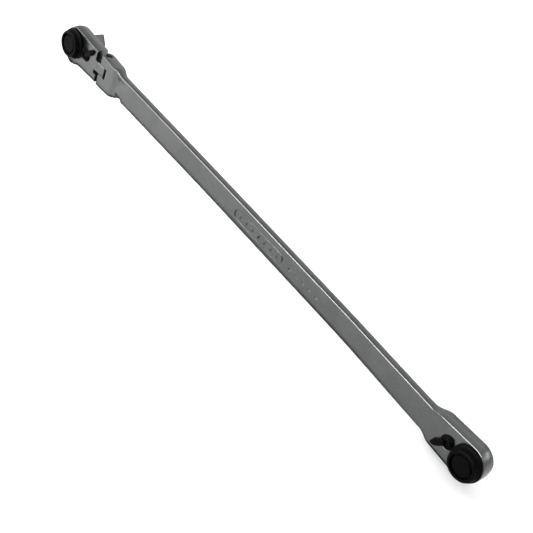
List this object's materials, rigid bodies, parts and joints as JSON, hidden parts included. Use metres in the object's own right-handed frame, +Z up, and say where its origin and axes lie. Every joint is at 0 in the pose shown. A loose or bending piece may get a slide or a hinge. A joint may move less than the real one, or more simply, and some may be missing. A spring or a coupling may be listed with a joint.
{
  "type": "ratchet wrench",
  "caption": "Long flat double-ended ratchet wrench: a tilting head with a square drive at one end, a fixed head with a hex bit socket at the other, each with a finger wheel and reversing lever.",
  "frame": {"origin": "middle of the length and depth, at the lowest point of the wrench as it stands on its lower long edge", "axes": "+X along the handle towards the fixed head, -Y towards the finger wheels, +Y towards the square drive and bit socket, +Z up across the handle's width"},
  "size_m": [0.3012, 0.0206, 0.02],
  "materials": {
    "satin_forging": "satin chrome over a forging",
    "black_oxide": "black phosphate",
    "hardened_steel": "ground",
    "drive_steel": "satin",
    "spring_steel": "bright wire"
  },
  "bodies": {
    "handle": {"handle_forging": "satin_forging", "pivot_pin": "hardened_steel", "friction_plunger": "hardened_steel", "friction_spring": "spring_steel", "fixed_cover_plate": "hardened_steel", "fixed_snap_ring": "spring_steel", "fixed_pawl_pin": "hardened_steel"},
    "flex_head": {"flex_head_housing": "satin_forging", "flex_cover_plate": "hardened_steel", "flex_snap_ring": "spring_steel", "flex_pawl_pin": "hardened_steel"},
    "fixed_drive": {"fixed_drive_gear": "drive_steel", "fixed_finger_wheel": "black_oxide", "fixed_wheel_cap": "black_oxide", "fixed_wheel_screw": "hardened_steel", "bit_retaining_ring": "spring_steel"},
    "flex_drive": {"flex_drive_gear": "drive_steel", "flex_finger_wheel": "black_oxide", "flex_wheel_cap": "black_oxide", "flex_wheel_screw": "hardened_steel", "socket_ball_spring": "spring_steel"},
    "socket_ball": {"socket_ball": "hardened_steel"},
    "fixed_lever": {"fixed_reverse_lever": "black_oxide", "fixed_detent_ball": "hardened_steel", "fixed_detent_spring": "spring_steel"},
    "flex_lever": {"flex_reverse_lever": "black_oxide", "flex_detent_ball": "hardened_steel", "flex_detent_spring": "spring_steel"},
    "fixed_pawl": {"fixed_pawl": "hardened_steel"},
    "flex_pawl": {"flex_pawl": "hardened_steel"}
  },
  "joints": [
    {"name": "flex_tilt", "type": "hinge", "parent": "handle", "child": "flex_head", "pos_m": [-0.1183, -0.00287, 0.0117], "axis": [0, 0, 1], "range_deg": [-90, 90]},
    {"name": "flex_drive_spin", "type": "hinge", "parent": "flex_head", "child": "flex_drive", "pos_m": [-0.1426, -0.00287, 0.0117], "axis": [0, 1, 0], "continuous": true},
    {"name": "fixed_drive_spin", "type": "hinge", "parent": "handle", "child": "fixed_drive", "pos_m": [0.1426, -0.00287, 0.0117], "axis": [0, 1, 0], "continuous": true},
    {"name": "flex_lever_throw", "type": "hinge", "parent": "flex_head", "child": "flex_lever", "pos_m": [-0.132, -0.00607, 0.0117], "axis": [0, 1, 0], "range_deg": [0, 90]},
    {"name": "fixed_lever_throw", "type": "hinge", "parent": "handle", "child": "fixed_lever", "pos_m": [0.132, -0.00607, 0.0117], "axis": [0, 1, 0], "range_deg": [0, 90]},
    {"name": "flex_pawl_rock", "type": "hinge", "parent": "flex_head", "child": "flex_pawl", "pos_m": [-0.13515, -0.00287, 0.0117], "axis": [0, 1, 0], "range_deg": [-9, 1]},
    {"name": "fixed_pawl_rock", "type": "hinge", "parent": "handle", "child": "fixed_pawl", "pos_m": [0.13515, -0.00287, 0.0117], "axis": [0, 1, 0], "range_deg": [-9, 1]},
    {"name": "socket_ball_press", "type": "slide", "parent": "flex_drive", "child": "socket_ball", "axis": [0.8192, 0, 0.5736], "range_m": [0, 0.0004], "stiffness_N_per_m": 200}
  ],
  "couplings": [
    {"joint": "flex_pawl_rock", "follows": "flex_lever_throw", "ratio": -0.088889},
    {"joint": "fixed_pawl_rock", "follows": "fixed_lever_throw", "ratio": -0.088889}
  ]
}
